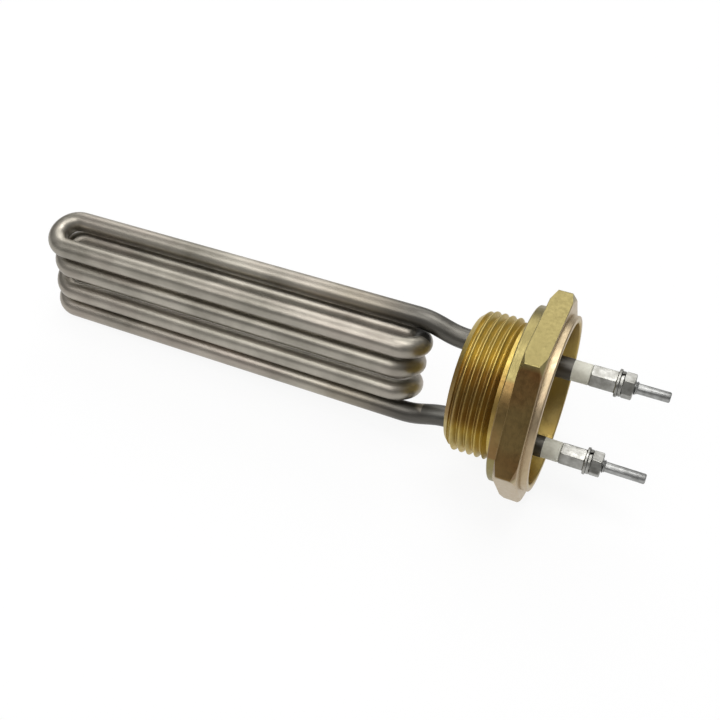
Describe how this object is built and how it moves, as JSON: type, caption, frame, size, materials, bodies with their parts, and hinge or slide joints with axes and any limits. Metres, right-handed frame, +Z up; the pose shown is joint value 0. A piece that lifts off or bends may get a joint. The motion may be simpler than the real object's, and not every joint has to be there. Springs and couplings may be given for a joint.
{
  "type": "dishwasher heating element",
  "caption": "Screw-in immersion heater: a brass hexagon plug with pipe thread, a looped steel tube element and studs with nuts as its terminals.",
  "frame": {"origin": "centre of the sealing face, on the axis of the pipe thread", "axes": "+X along the thread's axis, out of the tank and towards the terminals; +Z up, square to the hexagon's lower flat"},
  "size_m": [0.2028, 0.0636, 0.055],
  "materials": {
    "head_brass": "turned and forged brass, slightly aged",
    "sheath_steel": "drawn stainless tube, satin, heat tinted near the head",
    "magnesia": "compacted mineral powder, matt",
    "coil_alloy": "oxidised resistance wire",
    "pin_steel": "dull steel",
    "seal_resin": "matt cured resin",
    "bead_ceramic": "unglazed off-white ceramic",
    "plated_steel": "nickel plated steel",
    "braze_metal": "silver braze, as flowed"
  },
  "bodies": {
    "root": {"brass_head": "head_brass", "sheath_tube": "sheath_steel", "magnesia_fill": "magnesia", "resistance_coil": "coil_alloy", "terminal_pin_upper": "pin_steel", "terminal_pin_lower": "pin_steel", "end_seal_upper": "seal_resin", "end_seal_lower": "seal_resin", "ceramic_bead_upper": "bead_ceramic", "ceramic_bead_lower": "bead_ceramic", "long_nut_upper": "plated_steel", "long_nut_lower": "plated_steel", "flat_washer_upper": "plated_steel", "flat_washer_lower": "plated_steel", "spring_washer_upper": "plated_steel", "spring_washer_lower": "plated_steel", "terminal_nut_upper": "plated_steel", "terminal_nut_lower": "plated_steel", "braze_wet_upper": "braze_metal", "braze_wet_lower": "braze_metal", "braze_dry_upper": "braze_metal", "braze_dry_lower": "braze_metal"}
  },
  "joints": []
}
